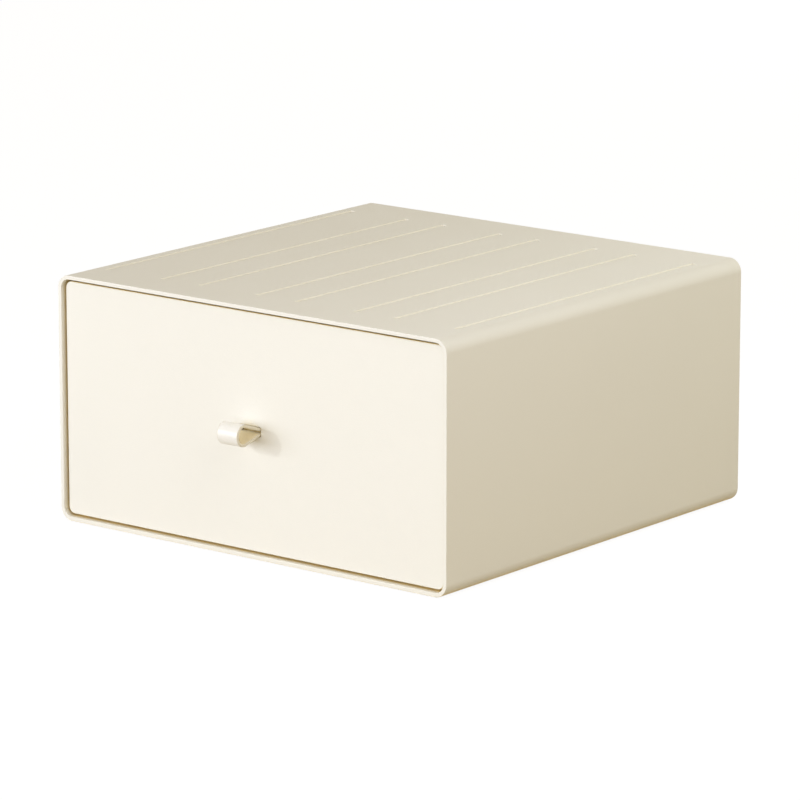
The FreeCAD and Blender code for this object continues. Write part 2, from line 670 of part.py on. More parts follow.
def build():
    """Makes every piece of the drawer box."""
    panel_places = [(across, up) for across in pair(BOSS_HALF) for up in (BOSS_LOW, BOSS_TOP)]
    clamp_places = [(across, STRAP_MIDDLE) for across in pair(CLAMP_HALF)]
    return [
        case_sleeve(),
        back_panel(),
        runner("left_runner", "-"),
        runner("right_runner", "+"),
        drawer_tray(),
        front_panel(),
        screws("panel_screws", "panel_screw", panel_places, f"({TRAY_FRONT} + Sizes.tray_wall)",
               "Sizes.tray_wall + Sizes.panel_screw_grip"),
        pull_strap(),
        strap_retainer(),
        screws("retainer_screws", "retainer_screw", clamp_places, CLAMP_BACK,
               "Sizes.retainer_seat_gap + Sizes.retainer_screw_grip"),
    ]


def check(bodies):
    """Stops at any failed object or unsound solid, and prints each piece's volume and reach."""
    doc.recompute()
    for item in doc.Objects:
        if "Invalid" in item.State or "Error" in item.State:
            raise RuntimeError(f"{item.Name} failed: {item.State}")
    for body in bodies:
        if body.Shape.isNull() or not body.Shape.isValid():
            raise RuntimeError(f"{body.Label} is not a sound solid")
        box = body.Shape.BoundBox
        print(f"{body.Label}: {len(body.Shape.Solids)} solid(s), {body.Shape.Volume:.1f} mm3, "
              f"X {box.XMin:.2f} {box.XMax:.2f}, Y {box.YMin:.2f} {box.YMax:.2f}, "
              f"Z {box.ZMin:.2f} {box.ZMax:.2f}")


parts = build()
check(parts)
catch_front = f"{TRAY_BACK} - Sizes.catch_setback - Sizes.catch_length"
travel = number(f"{catch_front} - Sizes.stop_setback - Sizes.stop_length")
print(f"the drawer's catches meet the stops after {travel:.2f} mm")
os.makedirs("parts", exist_ok=True)
for part in parts:
    part.Shape.exportStep(f"parts/{part.Label}.step")
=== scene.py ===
import math

import bmesh
import bpy
from bpy.props import FloatProperty, FloatVectorProperty, IntProperty, PointerProperty
from mathutils import Matrix, Vector


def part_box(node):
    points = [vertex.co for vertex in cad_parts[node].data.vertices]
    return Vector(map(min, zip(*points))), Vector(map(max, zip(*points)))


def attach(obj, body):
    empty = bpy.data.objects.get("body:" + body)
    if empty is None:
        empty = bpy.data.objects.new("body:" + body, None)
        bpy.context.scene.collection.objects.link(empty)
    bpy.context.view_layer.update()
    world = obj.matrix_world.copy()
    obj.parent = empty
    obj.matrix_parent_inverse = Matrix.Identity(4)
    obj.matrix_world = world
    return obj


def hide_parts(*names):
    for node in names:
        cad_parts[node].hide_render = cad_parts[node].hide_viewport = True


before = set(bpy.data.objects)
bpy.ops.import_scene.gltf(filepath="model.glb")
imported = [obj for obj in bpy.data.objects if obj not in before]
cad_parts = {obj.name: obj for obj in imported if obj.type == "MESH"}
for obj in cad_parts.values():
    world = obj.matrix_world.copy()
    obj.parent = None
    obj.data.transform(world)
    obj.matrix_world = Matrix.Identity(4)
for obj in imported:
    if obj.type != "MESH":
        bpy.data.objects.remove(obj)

bl_info = {
    "name": "Stackable drawer box",
    "version": (1, 0, 0),
    "blender": (4, 5, 0),
    "location": "3D View > Sidebar > Drawer box",
    "description": "Dresses the packed drawer box in moulded plastic and leather, and lights it",
    "category": "Object",
}

MM = 0.001
CASE, DRAWER = "case", "drawer"
WHITE = (1, 1, 1)

# How finely round things are drawn: a wide corner, a small round and a whole screw head
CORNER_STEPS = 14
SMALL_STEPS = 5
ROUND_STEPS = 40
# Edges that turn less than this are shaded smooth
SMOOTH_BELOW = math.radians(32)
# The bevel profile that gives a circular round
CIRCULAR = 0.5
# How far a cutting tool runs past what it cuts
OVERRUN = 1 * MM
# A cutting tool's edge stands this far off the surface, so that the two are never in one plane
OFF_PLANE = 0.01 * MM

# How a CAD mesh is carried over: points this close become one, faces that turn less than this are joined,
# and edges that turn more than this are rounded, in so many steps
WELD = 0.002 * MM
FLAT_BELOW = math.radians(0.4)
SHARP_ABOVE = math.radians(38)
EDGE_STEPS = 3

# How far from a surface the walls of a gap are looked for, with how many rays, and how open to the light a
# place is where the painted shade in a gap is full and where it ends
GAP_REACH = 12 * MM
GAP_RAYS = 6
PAINTED_SHADE_FULL, PAINTED_SHADE_END = 0.02, 0.46

# Nearly all values of a noise pattern lie between these
NOISE_LOW, NOISE_HIGH = 0.3, 0.7

# How far from its middle a crease of the leather's grain ends, as a share of a pebble, and so how far its
# painted shade reaches
CREASE_END = 0.12

# The share of its light that a finish gives back where it is darkest; the leather's darkest is painted shade
# in its creases
PLASTIC_DARKEST, CREASE_PAINTED_SHADE, ZINC_DARKEST = 0.985, 0.93, 0.85

# A Mix node's sockets for colours, by number, because their names repeat
MIX_SHARE, MIX_FIRST, MIX_SECOND, MIX_RESULT = 0, 6, 7, 2

# Each lamp: name, direction to it, distance, width and height in metres, colour and power in watts
LAMPS = [
    ("key", (-0.54, -0.79, 0.30), 2.2, 0.11, 0.11, "F4FAFF", 6.4),
    ("front_softbox", (-0.34, -1.0, 0.11), 2.2, 3.6, 1.0, "DDE6F8", 52),
    ("front_right_lamp", (0.9, -0.45, 0.75), 0.8, 0.5, 0.5, "EEF3FF", 1.42),
    ("back_right_lamp", (0.75, 0.65, 0.75), 0.9, 0.6, 0.6, "F4FFFF", 1.7),
    ("rear_softbox", (-0.1, 1.0, 0.03), 2.4, 2.6, 0.9, "FFFFFF", 13),
]


def srgb(code):
    """The linear colour of an sRGB hex code."""
    values = [int(code[at:at + 2], 16) / 255 for at in (0, 2, 4)]
    return tuple(value / 12.92 if value <= 0.04045 else ((value + 0.055) / 1.055) ** 2.4 for value in values)


def length(name, millimetres, description):
    """A property that holds a length."""
    return FloatProperty(name=name, description=description, default=millimetres * MM, min=0, unit="LENGTH")


def angle(name, degrees, description):
    """A property that holds an angle."""
    return FloatProperty(name=name, description=description, default=math.radians(degrees), subtype="ANGLE",
                         unit="ROTATION")


def share(name, value, description):
    """A property that holds a share from none to all."""
    return FloatProperty(name=name, description=description, default=value, min=0, max=1, subtype="FACTOR")


def colour(name, code, description):
    """A property that holds a colour."""
    return FloatVectorProperty(name=name, description=description, default=srgb(code), min=0, max=1,
                               subtype="COLOR")


class SleeveSizes(bpy.types.PropertyGroup):
    """The outer casing."""
    wall: length("Wall", 2.7, "Thickness of the casing's walls")
    corner_radius: length("Corner radius", 9, "Radius of the four long outer edges")
    rim_round: length("Rim round", 0.4, "Radius of the front rim's two edges")
    rebate: length("Rebate", 1, "How far the walls are thinned at the back, where the rear panel sits")
    rebate_depth: length("Rebate depth", 4, "How far the thinned part runs in from the back")
    back_round: length("Back round", 0.4, "Radius of the back rim's two edges")
    bands: IntProperty(name="Bands", description="Wide bands on the top, each with a groove at either edge",
                       default=4, min=1)
    band_spacing: length("Band spacing", 80, "Distance from one band to the next")
    band_width: length("Band width", 48, "Distance between the two grooves of a band")
    groove_width: length("Groove width", 4, "Width of a groove")
    groove_depth: length("Groove depth", 1, "Depth of a groove")
    groove_lip: length("Groove lip", 0.4, "Radius of the groove's upper and lower edges")
    groove_corner: length("Groove corner", 1, "Radius of the corners at the groove's two ends")
    groove_front: length("Groove front", 30, "From the front rim to the grooves")
    groove_back: length("Groove back", 31, "From the back rim to the grooves")
    rib_height: length("Rib height", 0.8, "Height of the ribs that drop into the grooves of a box below")
    rib_clearance: length("Rib clearance", 0.5, "Gap all round between a rib and its groove")
    rib_round: length("Rib round", 0.3, "Radius of a rib's lower edge")
    stop_setback: length("Stop setback", 13, "From the front rim to the drawer stops")
    stop_length: length("Stop length", 6, "Length of a stop, front to back")
    stop_width: length("Stop width", 7, "Width of a stop")
    stop_drop: length("Stop drop", 6, "How far a stop hangs below the ceiling")
    stop_inset: length("Stop inset", 9.1, "From the inner side wall to the middle of a stop")
    stop_round: length("Stop round", 0.5, "Radius of a stop's edges")
    dimple_spacing: length("Dimple spacing", 160, "Distance between the dimples that hold the rear panel")
    dimple_width: length("Dimple width", 16.4, "Width of a dimple")
    dimple_length: length("Dimple length", 2.4, "Length of a dimple")
    dimple_depth: length("Dimple depth", 0.7, "Depth of a dimple")
    dimple_setback: length("Dimple setback", 7, "From the back rim to the middle of a dimple")


class EdgeSizes(bpy.types.PropertyGroup):
    """The small rounds of the carried-over mouldings."""
    back: length("Back panel", 0.3, "Edge round of the rear panel")
    runner: length("Runners", 0.4, "Edge round of the guide strips")
    tray: length("Tray", 0.5, "Edge round of the tray's rim and catches")
    front: length("Front", 0.25, "Edge round of the drawer front")
    clamp: length("Clamp plate", 0.4, "Edge round of the plate that holds the strap")


class StrapSizes(bpy.types.PropertyGroup):
    """The leather pull."""
    width: length("Width", 17, "Width of the strap")
    thickness: length("Thickness", 1.9, "Thickness of the strap")
    lining: length("Lining", 0.6, "Thickness of the strap's inner layer")
    edge_round: length("Edge round", 0.6, "Radius of the strap's painted edges")
    nose_radius: length("Nose radius", 7.2, "Outer radius of the loop's front")
    nose_lift: length("Nose lift", 0.5, "How far the loop's front stands above the middle of the slot")
    neck: length("Neck", 5.4, "Height of the strap's two layers where they pass the slot")
    tab_bend: length("Tab bend", 1.3, "Radius at which the ends turn up and down behind the front")
    mouth_bend: length("Mouth bend", 2.5, "Radius at which the two layers part in front of the slot")


class ScrewSizes(bpy.types.PropertyGroup):
    """The cross-head screws."""
    front_head_radius: length("Front head radius", 3.2, "Radius of the heads of the front's screws")
    front_head_height: length("Front head height", 1.8, "Height of the heads of the front's screws")
    front_shank_radius: length("Front shank radius", 1.5, "Radius of the shanks of the front's screws")
    clamp_head_radius: length("Clamp head radius", 4, "Radius of the heads of the clamp's screws")
    clamp_head_height: length("Clamp head height", 1.6, "Height of the heads of the clamp's screws")
    clamp_shank_radius: length("Clamp shank radius", 1.1, "Radius of the shanks of the clamp's screws")
    tip_share: share("Tip share", 0.4, "Radius of the tip as a share of the shank's")
    crown_share: share("Crown share", 0.55, "Height of the head's crown as a share of the head's")
    drive_arm: length("Drive arm", 1.7, "Reach of the cross recess from the middle")
    drive_wall: length("Drive wall", 0.8, "Width of the cross recess")
    drive_depth: length("Drive depth", 1, "Depth of the cross recess")
    drive_taper: share("Drive taper", 0.55, "Size of the recess's floor as a share of its mouth")


class Finishes(bpy.types.PropertyGroup):
    """The colours of the box's materials."""
    sleeve: colour("Sleeve", "F3EFE4", "ABS of the casing and rear panel")
    front: colour("Front", "F3EFE4", "ABS of the drawer front")
    tray: colour("Tray", "F2EEE5", "Polypropylene of the tray")
    runner: colour("Runner", "EFEDE6", "Acetal of the guide strips")
    # Painted shade: the gold that the plastics' colours are turned to deep in gaps, where little light gets
    # in
    gap: colour("Gap", "FFE490", "The tone that cream plastic takes deep in its gaps")
    leather: colour("Leather", "F8F4EB", "Outer face of the strap")
    lining: colour("Lining", "FBF0D0", "Inner face of the strap")
    edge_paint: colour("Edge paint", "E9E1CC", "Painted edges of the strap")
    steel: colour("Steel", "C6C8CA", "Zinc plate on the screws")


class Studio(bpy.types.PropertyGroup):
    """The camera and the light."""
    azimuth: angle("Azimuth", 38.49, "Camera's angle from straight ahead, to the right")
    elevation: angle("Elevation", 13.22, "Camera's angle above the horizon")
    distance: length("Distance", 3331, "From the camera to the point that it looks at")
    aim: FloatVectorProperty(name="Aim", description="The point that the camera looks at",
                             default=(-0.0002, 0.0081, 0.0755), subtype="TRANSLATION", unit="LENGTH")
    lens: FloatProperty(name="Lens", description="Focal length in millimetres", default=228.25, min=1)
    sensor: FloatProperty(name="Sensor", description="Width of the sensor in millimetres", default=36, min=1)
    floor_width: length("Floor width", 12000, "Width of the floor")
    ambient: colour("Ambient", "ADA28C", "Light that comes from all round")
    paper: colour("Paper", "C3B593", "The floor's own colour")
    glow: FloatProperty(name="Glow", description="How bright the floor is by itself where it is seen",
                        default=0.94, min=0)
    shadow: share("Shadow", 0.12, "How much of the light that falls on it the floor shows where it is seen")


# Materials: each is made once and is shared by the pieces of that finish

def add(tree, kind, inputs=(), **settings):
    """Adds a node, sets it up, and fills its inputs with values or with other nodes' outputs."""
    node = tree.nodes.new(kind)
    for setting, value in settings.items():
        setattr(node, setting, value)
    for socket, value in dict(inputs).items():
        if isinstance(value, bpy.types.NodeSocket):
            tree.links.new(value, node.inputs[socket])
        else:
            node.inputs[socket].default_value = value
    return node


def maths(tree, operation, *values):
    """The result of a Math node whose inputs are filled in order."""
    return add(tree, "ShaderNodeMath", enumerate(values), operation=operation).outputs[0]


def seen(tree):
    """Whether a ray comes from the camera, or from it by way of a reflection or a clear piece."""
    path = add(tree, "ShaderNodeLightPath").outputs
    direct = maths(tree, "MAXIMUM", path["Is Camera Ray"], path["Is Glossy Ray"])
    return maths(tree, "MAXIMUM", direct, path["Is Transmission Ray"])


def rgba(linear):
    """A linear colour with full opacity."""
    return (*linear, 1)


def toned(linear, share_of_light):
    """A colour that gives back a share of its light."""
    return rgba(channel * share_of_light for channel in linear)


def new_material(name):
    """An empty material, and its tree."""
    material = bpy.data.materials.new(name)
    material.use_nodes = True
    material.node_tree.nodes.clear()
    return material, material.node_tree


def once(make):
    """Makes a material the first time that its name is asked for, and finds it afterwards."""
    def found(name, *details, **named):
        return bpy.data.materials.get(name) or make(name, *details, **named)
    return found


def noise(tree, place, size, **inputs):
    """A noise pattern with blotches of a size."""
    return add(tree, "ShaderNodeTexNoise", {"Vector": place, "Scale": 1 / size, **inputs}).outputs["Fac"]


def shades(tree, pattern, low, low_colour, high, high_colour):
    """A colour that goes from one to another as a pattern rises between two values."""
    ramp = add(tree, "ShaderNodeValToRGB", {"Fac": pattern})
    ends = ramp.color_ramp.elements
    ends[0].position, ends[0].color = low, low_colour
    ends[1].position, ends[1].color = high, high_colour
    return ramp.outputs["Color"]


def polish(tree, pattern, roughness):
    """A roughness that wanders between two limits with a noise pattern."""
    low, high = roughness
    return add(tree, "ShaderNodeMapRange", {"Value": pattern, "From Min": NOISE_LOW, "From Max": NOISE_HIGH,
                                            "To Min": low, "To Max": high}).outputs["Result"]


def relief(tree, pattern, strength, depth, **settings):
    """A normal that follows a pattern as fine bumps of a depth."""
    return add(tree, "ShaderNodeBump", {"Height": pattern, "Strength": strength, "Distance": depth},
               **settings).outputs["Normal"]


def surface(tree, colour_from, roughness_from, normal_from, **constants):
    """Ends a tree in a Principled shader; colour, roughness and normal come from nodes."""
    inputs = {"Base Color": colour_from, "Roughness": roughness_from, "Normal": normal_from}
    inputs.update({name.replace("_", " "): value for name, value in constants.items()})
    shader = add(tree, "ShaderNodeBsdfPrincipled", inputs)
    add(tree, "ShaderNodeOutputMaterial", {"Surface": shader.outputs["BSDF"]})


def painted_gap_shade(tree, colour_from):
    """Painted shade: turns a colour towards gold where little light gets in, between the plastic's own walls.
    """
    open_share = add(tree, "ShaderNodeAmbientOcclusion", {"Distance": GAP_REACH}, samples=GAP_RAYS)
    unshaded_share = add(tree, "ShaderNodeMapRange", {"Value": open_share.outputs["AO"], "From Min": PAINTED_SHADE_FULL,
                                                "From Max": PAINTED_SHADE_END}, interpolation_type="SMOOTHSTEP")
    gap = rgba(bpy.context.scene.drawer_finishes.gap)
    mixed = add(tree, "ShaderNodeMix", {MIX_SHARE: unshaded_share.outputs["Result"], MIX_FIRST: gap,
                                        MIX_SECOND: colour_from}, data_type="RGBA")
    return mixed.outputs[MIX_RESULT]


@once
def moulded_plastic(name, linear, roughness, texture, ior):
    """Injection-moulded plastic from an eroded mould: even colour, a matt skin and a fine dry texture.

    The colour drifts by a percent or so over a hand's width, as masterbatch does. The texture is drawn at
    the given grain, coarser than the real 0.1 mm, so that it still shows up close.
    """
    material, tree = new_material(name)
    place = add(tree, "ShaderNodeTexCoord").outputs["Object"]
    drift = noise(tree, place, size=140 * MM, Detail=2)
    colours = shades(tree, drift, NOISE_LOW, toned(linear, PLASTIC_DARKEST), NOISE_HIGH, rgba(linear))
    grain = noise(tree, place, size=texture, Detail=3, Roughness=0.65)
    wear = noise(tree, place, size=35 * MM, Detail=3)
    # The colour gets painted shade: it turns to gold in gaps where little light gets in
    surface(tree, painted_gap_shade(tree, colours), polish(tree, wear, roughness),
            relief(tree, grain, strength=0.8, depth=0.12 * MM), IOR=ior)
    return material


@once
def coated_leather(name, linear, grain, roughness, sheen):
    """Split leather with a polyurethane coat, embossed: soft pebbles with tight creases between them.

    The coat gives the loop its bright nose; the pebbles break that light up close and vanish from afar.
    """
    material, tree = new_material(name)
    place = add(tree, "ShaderNodeTexCoord").outputs["Object"]
    cloud = noise(tree, place, size=2 * grain, Detail=2)
    pebbles, creases = (
        add(tree, "ShaderNodeTexVoronoi", {"Vector": place, "Scale": 1 / grain}, feature=feature)
        for feature in ("SMOOTH_F1", "DISTANCE_TO_EDGE"))
    # Painted shade: the colour darkens towards the middle of each crease between the pebbles
    colours = shades(tree, creases.outputs["Distance"], 0.0, toned(linear, CREASE_PAINTED_SHADE), CREASE_END,
                     rgba(linear))
    normal = relief(tree, pebbles.outputs["Distance"], strength=0.4, depth=0.06 * MM, invert=True)
    surface(tree, colours, polish(tree, cloud, roughness), normal, IOR=1.5, Sheen_Weight=sheen,
            Sheen_Roughness=0.5)
    return material


@once
def plated_metal(name, linear):
    """Zinc plate on steel: a pale grey metal, a little cloudy, with fine marks from the heading tool."""
    material, tree = new_material(name)
    place = add(tree, "ShaderNodeTexCoord").outputs["Object"]
    cloud = noise(tree, place, size=1.5 * MM, Detail=4)
    colours = shades(tree, cloud, NOISE_LOW, toned(linear, ZINC_DARKEST), NOISE_HIGH, rgba(linear))
    marks = noise(tree, place, size=0.25 * MM, Detail=2)
    surface(tree, colours, polish(tree, cloud, roughness=(0.22, 0.38)),
            relief(tree, marks, strength=0.2, depth=0.02 * MM), Metallic=1.0)
    return material


def sleeve_abs():
    """The casing's ABS: a fine matt texture in the warm cream of the photograph."""
    return moulded_plastic("sleeve_abs", bpy.context.scene.drawer_finishes.sleeve, roughness=(0.60, 0.67),
                           texture=0.8 * MM, ior=1.54)


def front_abs():
    """The drawer front's ABS: the same plastic from a smoother mould, so it looks a little cleaner."""
    return moulded_plastic("front_abs", bpy.context.scene.drawer_finishes.front, roughness=(0.56, 0.63),
                           texture=0.6 * MM, ior=1.54)


def tray_polypropylene():
    """The polypropylene of the tray and the clamp plate: duller and slightly waxy."""
    return moulded_plastic("tray_polypropylene", bpy.context.scene.drawer_finishes.tray,
                           roughness=(0.66, 0.74), texture=1 * MM, ior=1.49)


def runner_acetal():
    """The guide strips' acetal: slippery, smoother and less yellow than the rest."""
    return moulded_plastic("runner_acetal", bpy.context.scene.drawer_finishes.runner,
                           roughness=(0.26, 0.34), texture=0.7 * MM, ior=1.48)


# Meshes

def arc(centre, radius, start, end, steps):
    """Points along an arc, both ends included; the angles are in degrees."""
    turns = [math.radians(start + (end - start) * at / steps) for at in range(steps + 1)]
    return [(centre[0] + radius * math.cos(turn), centre[1] + radius * math.sin(turn)) for turn in turns]


def rounded_loop(left, right, low, high, radius):
    """The points of a rounded rectangle, anticlockwise from its right side."""
    corners = [(right - radius, high - radius, 0), (left + radius, high - radius, 90),
               (left + radius, low + radius, 180), (right - radius, low + radius, 270)]
    return [point for x, y, start in corners
            for point in arc((x, y), radius, start, start + 90, CORNER_STEPS)]


def skin(shape, loops, closed=False):
    """Joins loops of equally many points with quads; the row closes on itself, or its ends get a face."""
    rings = [[shape.verts.new(point) for point in loop] for loop in loops]
    pairs = list(zip(rings, rings[1:]))
    if closed:
        pairs.append((rings[-1], rings[0]))
    for ring, following in pairs:
        for at in range(len(ring)):
            after = (at + 1) % len(ring)
            shape.faces.new((ring[at], ring[after], following[after], following[at]))
    if not closed:
        shape.faces.new(rings[0])
        shape.faces.new(rings[-1])


def block(shape, low, high, radius=0.0):
    """Adds a box between two corners; with a radius, its edges are rounded."""
    size = [b - a for a, b in zip(low, high)]
    middle = [(a + b) / 2 for a, b in zip(low, high)]
    place = Matrix.Translation(middle) @ Matrix.Diagonal((*size, 1))
    made = bmesh.ops.create_cube(shape, size=1, matrix=place)
    if radius:
        edges = {edge for vert in made["verts"] for edge in vert.link_edges}
        bmesh.ops.bevel(shape, geom=list(edges), offset=radius, segments=SMALL_STEPS, profile=CIRCULAR,
                        affect="EDGES")


def to_object(name, shape):
    """Turns a bmesh into an object in the scene, its faces pointing outwards."""
    bmesh.ops.recalc_face_normals(shape, faces=shape.faces)
    mesh = bpy.data.meshes.new(name)
    shape.to_mesh(mesh)
    shape.free()
    piece = bpy.data.objects.new(name, mesh)
    bpy.context.scene.collection.objects.link(piece)
    return piece


def settle(piece):
    """Turns a piece's modifiers into a plain mesh and takes them off."""
    graph = bpy.context.evaluated_depsgraph_get()
    finished = bpy.data.meshes.new_from_object(piece.evaluated_get(graph), depsgraph=graph)
    piece.modifiers.clear()
    raw = piece.data
    piece.data = finished
    bpy.data.meshes.remove(raw)
    finished.name = piece.name


def modify(piece, kind, **settings):
    """Runs a modifier on a piece and keeps the result as a plain mesh."""
    modifier = piece.modifiers.new(kind.lower(), kind)
    for setting, value in settings.items():
        setattr(modifier, setting, value)
    settle(piece)


def discard(*pieces):
    """Takes tools that have done their work out of the file."""
    for piece in pieces:
        mesh = piece.data
        bpy.data.objects.remove(piece)
        bpy.data.meshes.remove(mesh)


def carve(piece, tool, operation):
    """Cuts a tool out of a piece, or joins it on, and discards the tool."""
    modify(piece, "BOOLEAN", object=tool, operation=operation, solver="EXACT")
    discard(tool)


def smooth(piece):
    """Shades round places smooth and keeps flat ones flat, right up to their rounded edges."""
    for face in piece.data.polygons:
        face.use_smooth = True
    piece.data.set_sharp_from_angle(angle=SMOOTH_BELOW)
    modify(piece, "WEIGHTED_NORMAL", keep_sharp=True)


def finish_piece(piece, material, body, slot, *nodes):
    """Gives a mesh its body and, if one is named, a material, and hides the CAD nodes that it stands for. The
    slot is not used.
    """
    if material:
        piece.data.materials.clear()
        piece.data.materials.append(material)
    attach(piece, body)
    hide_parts(*nodes)


def moulded_copy(node, name, edge_round, material, body, slot):
    """Makes a copy of a CAD node that stands for it, its sharp edges rounded as a mould leaves them."""
    shape = bmesh.new()
    shape.from_mesh(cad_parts[node].data)
    bmesh.ops.remove_doubles(shape, verts=shape.verts, dist=WELD)
    bmesh.ops.dissolve_limit(shape, angle_limit=FLAT_BELOW, verts=shape.verts, edges=shape.edges)
    piece = to_object(name, shape)
    modify(piece, "BEVEL", width=edge_round, segments=EDGE_STEPS, limit_method="ANGLE",
           angle_limit=SHARP_ABOVE, use_clamp_overlap=True)
    smooth(piece)
    finish_piece(piece, material, body, slot, node)


# Geometry Nodes

def new_tree(name, inputs):
    """A geometry tree with named inputs, and the sockets that they come in by."""
    tree = bpy.data.node_groups.new(name, "GeometryNodeTree")
    for label, kind in {"Geometry": "NodeSocketGeometry", **inputs}.items():
        tree.interface.new_socket(label, in_out="INPUT", socket_type=kind)
    tree.interface.new_socket("Geometry", in_out="OUTPUT", socket_type="NodeSocketGeometry")
    return tree, add(tree, "NodeGroupInput").outputs


def grow(piece, tree, values):
    """Runs a geometry tree on a piece with its inputs filled in, and keeps the result as a plain mesh."""
    modifier = piece.modifiers.new(tree.name, "NODES")
    modifier.node_group = tree
    sockets = {item.name: item.identifier for item in tree.interface.items_tree if item.in_out == "INPUT"}
    for label, value in values.items():
        modifier[sockets[label]] = value
    settle(piece)


def centred_row(tree, count, step):
    """Points in a row about the origin: a count, and the step from one to the next."""
    # The row starts (count - 1) / 2 steps back from the origin
    back = maths(tree, "MULTIPLY_ADD", count, -0.5, 0.5)
    start = add(tree, "ShaderNodeVectorMath", {0: step, "Scale": back}, operation="SCALE")
    row = add(tree, "GeometryNodeMeshLine", {"Count": count, "Start Location": start.outputs[0],
                                             "Offset": step}, mode="OFFSET")
    return row.outputs["Mesh"]


def rows_tree(name, operation=None):
    """A tree that repeats a tool in rows of rows, and places the copies, cuts them out or joins them on."""
    tree, entry = new_tree(name, {
        "Tool": "NodeSocketObject",
        "Groups": "NodeSocketInt",
        "Group step": "NodeSocketVector",
        "Members": "NodeSocketInt",
        "Member step": "NodeSocketVector",
        "Middle": "NodeSocketVector",
        "Material": "NodeSocketMaterial",
    })
    groups = centred_row(tree, entry["Groups"], entry["Group step"])
    members = centred_row(tree, entry["Members"], entry["Member step"])
    nested = add(tree, "GeometryNodeInstanceOnPoints", {"Points": groups, "Instance": members})
    places = add(tree, "GeometryNodeRealizeInstances", {"Geometry": nested.outputs["Instances"]})
    moved = add(tree, "GeometryNodeTransform", {"Geometry": places.outputs["Geometry"],
                                                "Translation": entry["Middle"]})
    tool = add(tree, "GeometryNodeObjectInfo", {"Object": entry["Tool"]})
    copies = add(tree, "GeometryNodeInstanceOnPoints", {"Points": moved.outputs["Geometry"],
                                                        "Instance": tool.outputs["Geometry"]})
    placed = copies.outputs["Instances"]
    if operation:
        solid = add(tree, "GeometryNodeRealizeInstances", {"Geometry": placed})
        worked = add(tree, "GeometryNodeMeshBoolean", operation=operation, solver="EXACT")
        tree.links.new(entry["Geometry"], worked.inputs["Mesh 1" if operation == "DIFFERENCE" else "Mesh 2"])
        tree.links.new(solid.outputs["Geometry"], worked.inputs["Mesh 2"])
        placed = worked.outputs["Mesh"]
    real = add(tree, "GeometryNodeRealizeInstances", {"Geometry": placed})
    dressed = add(tree, "GeometryNodeSetMaterial", {"Geometry": real.outputs["Geometry"],
                                                    "Material": entry["Material"]})
    add(tree, "NodeGroupOutput", {"Geometry": dressed.outputs["Geometry"]})
    return tree


def strip_tree():
    """A tree that turns a strap's folded centre line into a strip with rounded edges and two faces."""
    tree, entry = new_tree("leather_strip", {
        "Width": "NodeSocketFloat",
        "Thickness": "NodeSocketFloat",
        "Edge round": "NodeSocketFloat",
        "Lining": "NodeSocketFloat",
        "Steps": "NodeSocketInt",
        "Skin material": "NodeSocketMaterial",
        "Lining material": "NodeSocketMaterial",
        "Edge material": "NodeSocketMaterial",
    })
    line = add(tree, "GeometryNodeMeshToCurve", {"Mesh": entry["Geometry"]})
    bend = add(tree, "GeometryNodeInputNamedAttribute", {"Name": "bend"}, data_type="FLOAT")
    route = add(tree, "GeometryNodeFilletCurve", {"Curve": line.outputs["Curve"], "Count": entry["Steps"],
                                                  "Radius": bend.outputs["Attribute"]}, mode="POLY")
    flat = add(tree, "GeometryNodeSetCurveNormal", {"Curve": route.outputs["Curve"]}, mode="Z_UP")
    section = add(tree, "GeometryNodeCurvePrimitiveQuadrilateral", {"Width": entry["Thickness"],
                                                                   "Height": entry["Width"]})
    soft = add(tree, "GeometryNodeFilletCurve", {"Curve": section.outputs["Curve"], "Count": SMALL_STEPS,
                                                 "Radius": entry["Edge round"]}, mode="POLY")
    seat = add(tree, "GeometryNodeInputPosition")
    held = add(tree, "GeometryNodeCaptureAttribute", {"Geometry": soft.outputs["Curve"]})
    held.capture_items.new("VECTOR", "seat")
    tree.links.new(seat.outputs["Position"], held.inputs["seat"])
    strip = add(tree, "GeometryNodeCurveToMesh", {
        "Curve": flat.outputs["Curve"], "Profile Curve": held.outputs["Geometry"], "Fill Caps": True})
    across = add(tree, "ShaderNodeSeparateXYZ", {"Vector": held.outputs["seat"]})
    # The profile's X runs from the strap's inner face to its outer one, and the lining takes the first part
    lining_end = maths(tree, "MULTIPLY_ADD", entry["Thickness"], -0.5, entry["Lining"])
    is_lining = add(tree, "FunctionNodeCompare", {"A": across.outputs["X"], "B": lining_end},
                    data_type="FLOAT", operation="LESS_THAN")
    outwards = maths(tree, "ABSOLUTE", across.outputs["Y"])
    half = maths(tree, "MULTIPLY", entry["Width"], 0.5)
    edge_from = maths(tree, "SUBTRACT", half, entry["Edge round"])
    is_edge = add(tree, "FunctionNodeCompare", {"A": outwards, "B": edge_from},
                  data_type="FLOAT", operation="GREATER_THAN")
    real = add(tree, "GeometryNodeRealizeInstances", {"Geometry": strip.outputs["Mesh"]})
    skinned = add(tree, "GeometryNodeSetMaterial", {"Geometry": real.outputs["Geometry"],
                                                    "Material": entry["Skin material"]})
    lined = add(tree, "GeometryNodeSetMaterial", {"Geometry": skinned.outputs["Geometry"],
                                                  "Selection": is_lining.outputs["Result"],
                                                  "Material": entry["Lining material"]})
    edged = add(tree, "GeometryNodeSetMaterial", {"Geometry": lined.outputs["Geometry"],
                                                  "Selection": is_edge.outputs["Result"],
                                                  "Material": entry["Edge material"]})
    add(tree, "NodeGroupOutput", {"Geometry": edged.outputs["Geometry"]})
    return tree


# The pieces

